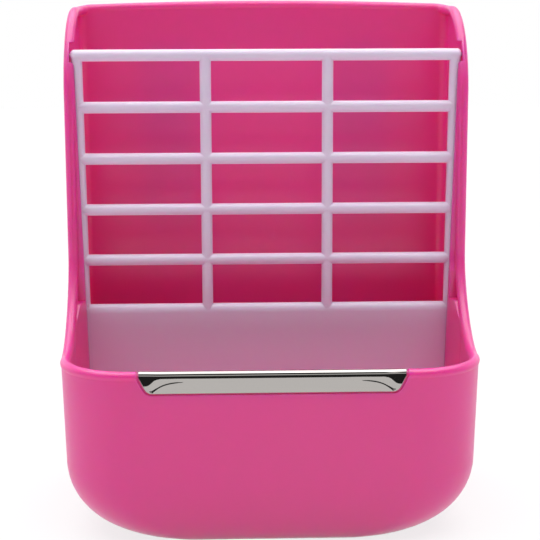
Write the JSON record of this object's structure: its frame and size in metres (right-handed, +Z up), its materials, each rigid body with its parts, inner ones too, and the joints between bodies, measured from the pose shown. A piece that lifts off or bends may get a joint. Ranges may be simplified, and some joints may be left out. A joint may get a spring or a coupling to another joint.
{
  "type": "hay feeder box",
  "caption": "Cage-hung hay feeder with a food bowl below, a barred swinging grille in front of the hay, a steel chew guard on the rim and adjustable clamps on the back.",
  "frame": {"origin": "middle of the flat base, on the plane the feeder stands on", "axes": "+Z up, +X to the right seen from the front, +Y towards the cage wall behind"},
  "size_m": [0.175, 0.156, 0.2211],
  "materials": {
    "shell": "semi-gloss moulded",
    "grille": "semi-gloss moulded",
    "guard": "mirror-polished stainless steel",
    "bolt": "zinc-plated",
    "plate": "semi-gloss moulded",
    "pad": "matt",
    "washer": "zinc-plated",
    "nut": "zinc-plated"
  },
  "bodies": {
    "shell": {"body_shell": "shell", "chew_guard": "guard"},
    "grille": {"hay_grille": "grille"},
    "bolt_left": {"t_bolt_left": "bolt"},
    "clamp_left": {"clamp_pad_left": "pad", "clamp_plate_left": "plate", "washer_left": "washer"},
    "nut_left": {"wing_nut_left": "nut"},
    "bolt_right": {"t_bolt_right": "bolt"},
    "clamp_right": {"clamp_pad_right": "pad", "clamp_plate_right": "plate", "washer_right": "washer"},
    "nut_right": {"wing_nut_right": "nut"}
  },
  "joints": [
    {"name": "grille_swing", "type": "hinge", "parent": "shell", "child": "grille", "pos_m": [0, 0.01365, 0.1972], "axis": [1, 0, 0], "range_deg": [0, 11.5]},
    {"name": "track_slide_left", "type": "slide", "parent": "shell", "child": "bolt_left", "axis": [0, 0, 1], "range_m": [-0.0437, 0.0257]},
    {"name": "clamp_travel_left", "type": "slide", "parent": "bolt_left", "child": "clamp_left", "axis": [0, 1, 0], "range_m": [-0.00451, 0.00501]},
    {"name": "nut_turn_left", "type": "hinge", "parent": "clamp_left", "child": "nut_left", "pos_m": [-0.045, 0.0833, 0.17], "axis": [0, 1, 0], "range_deg": [-1620, 1800]},
    {"name": "track_slide_right", "type": "slide", "parent": "shell", "child": "bolt_right", "axis": [0, 0, 1], "range_m": [-0.0437, 0.0257]},
    {"name": "clamp_travel_right", "type": "slide", "parent": "bolt_right", "child": "clamp_right", "axis": [0, 1, 0], "range_m": [-0.00451, 0.00501]},
    {"name": "nut_turn_right", "type": "hinge", "parent": "clamp_right", "child": "nut_right", "pos_m": [0.045, 0.0833, 0.17], "axis": [0, 1, 0], "range_deg": [-1620, 1800]}
  ],
  "couplings": [
    {"joint": "clamp_travel_left", "follows": "nut_turn_left", "m_per_rad": 0.00015915},
    {"joint": "clamp_travel_right", "follows": "nut_turn_right", "m_per_rad": 0.00015915}
  ]
}
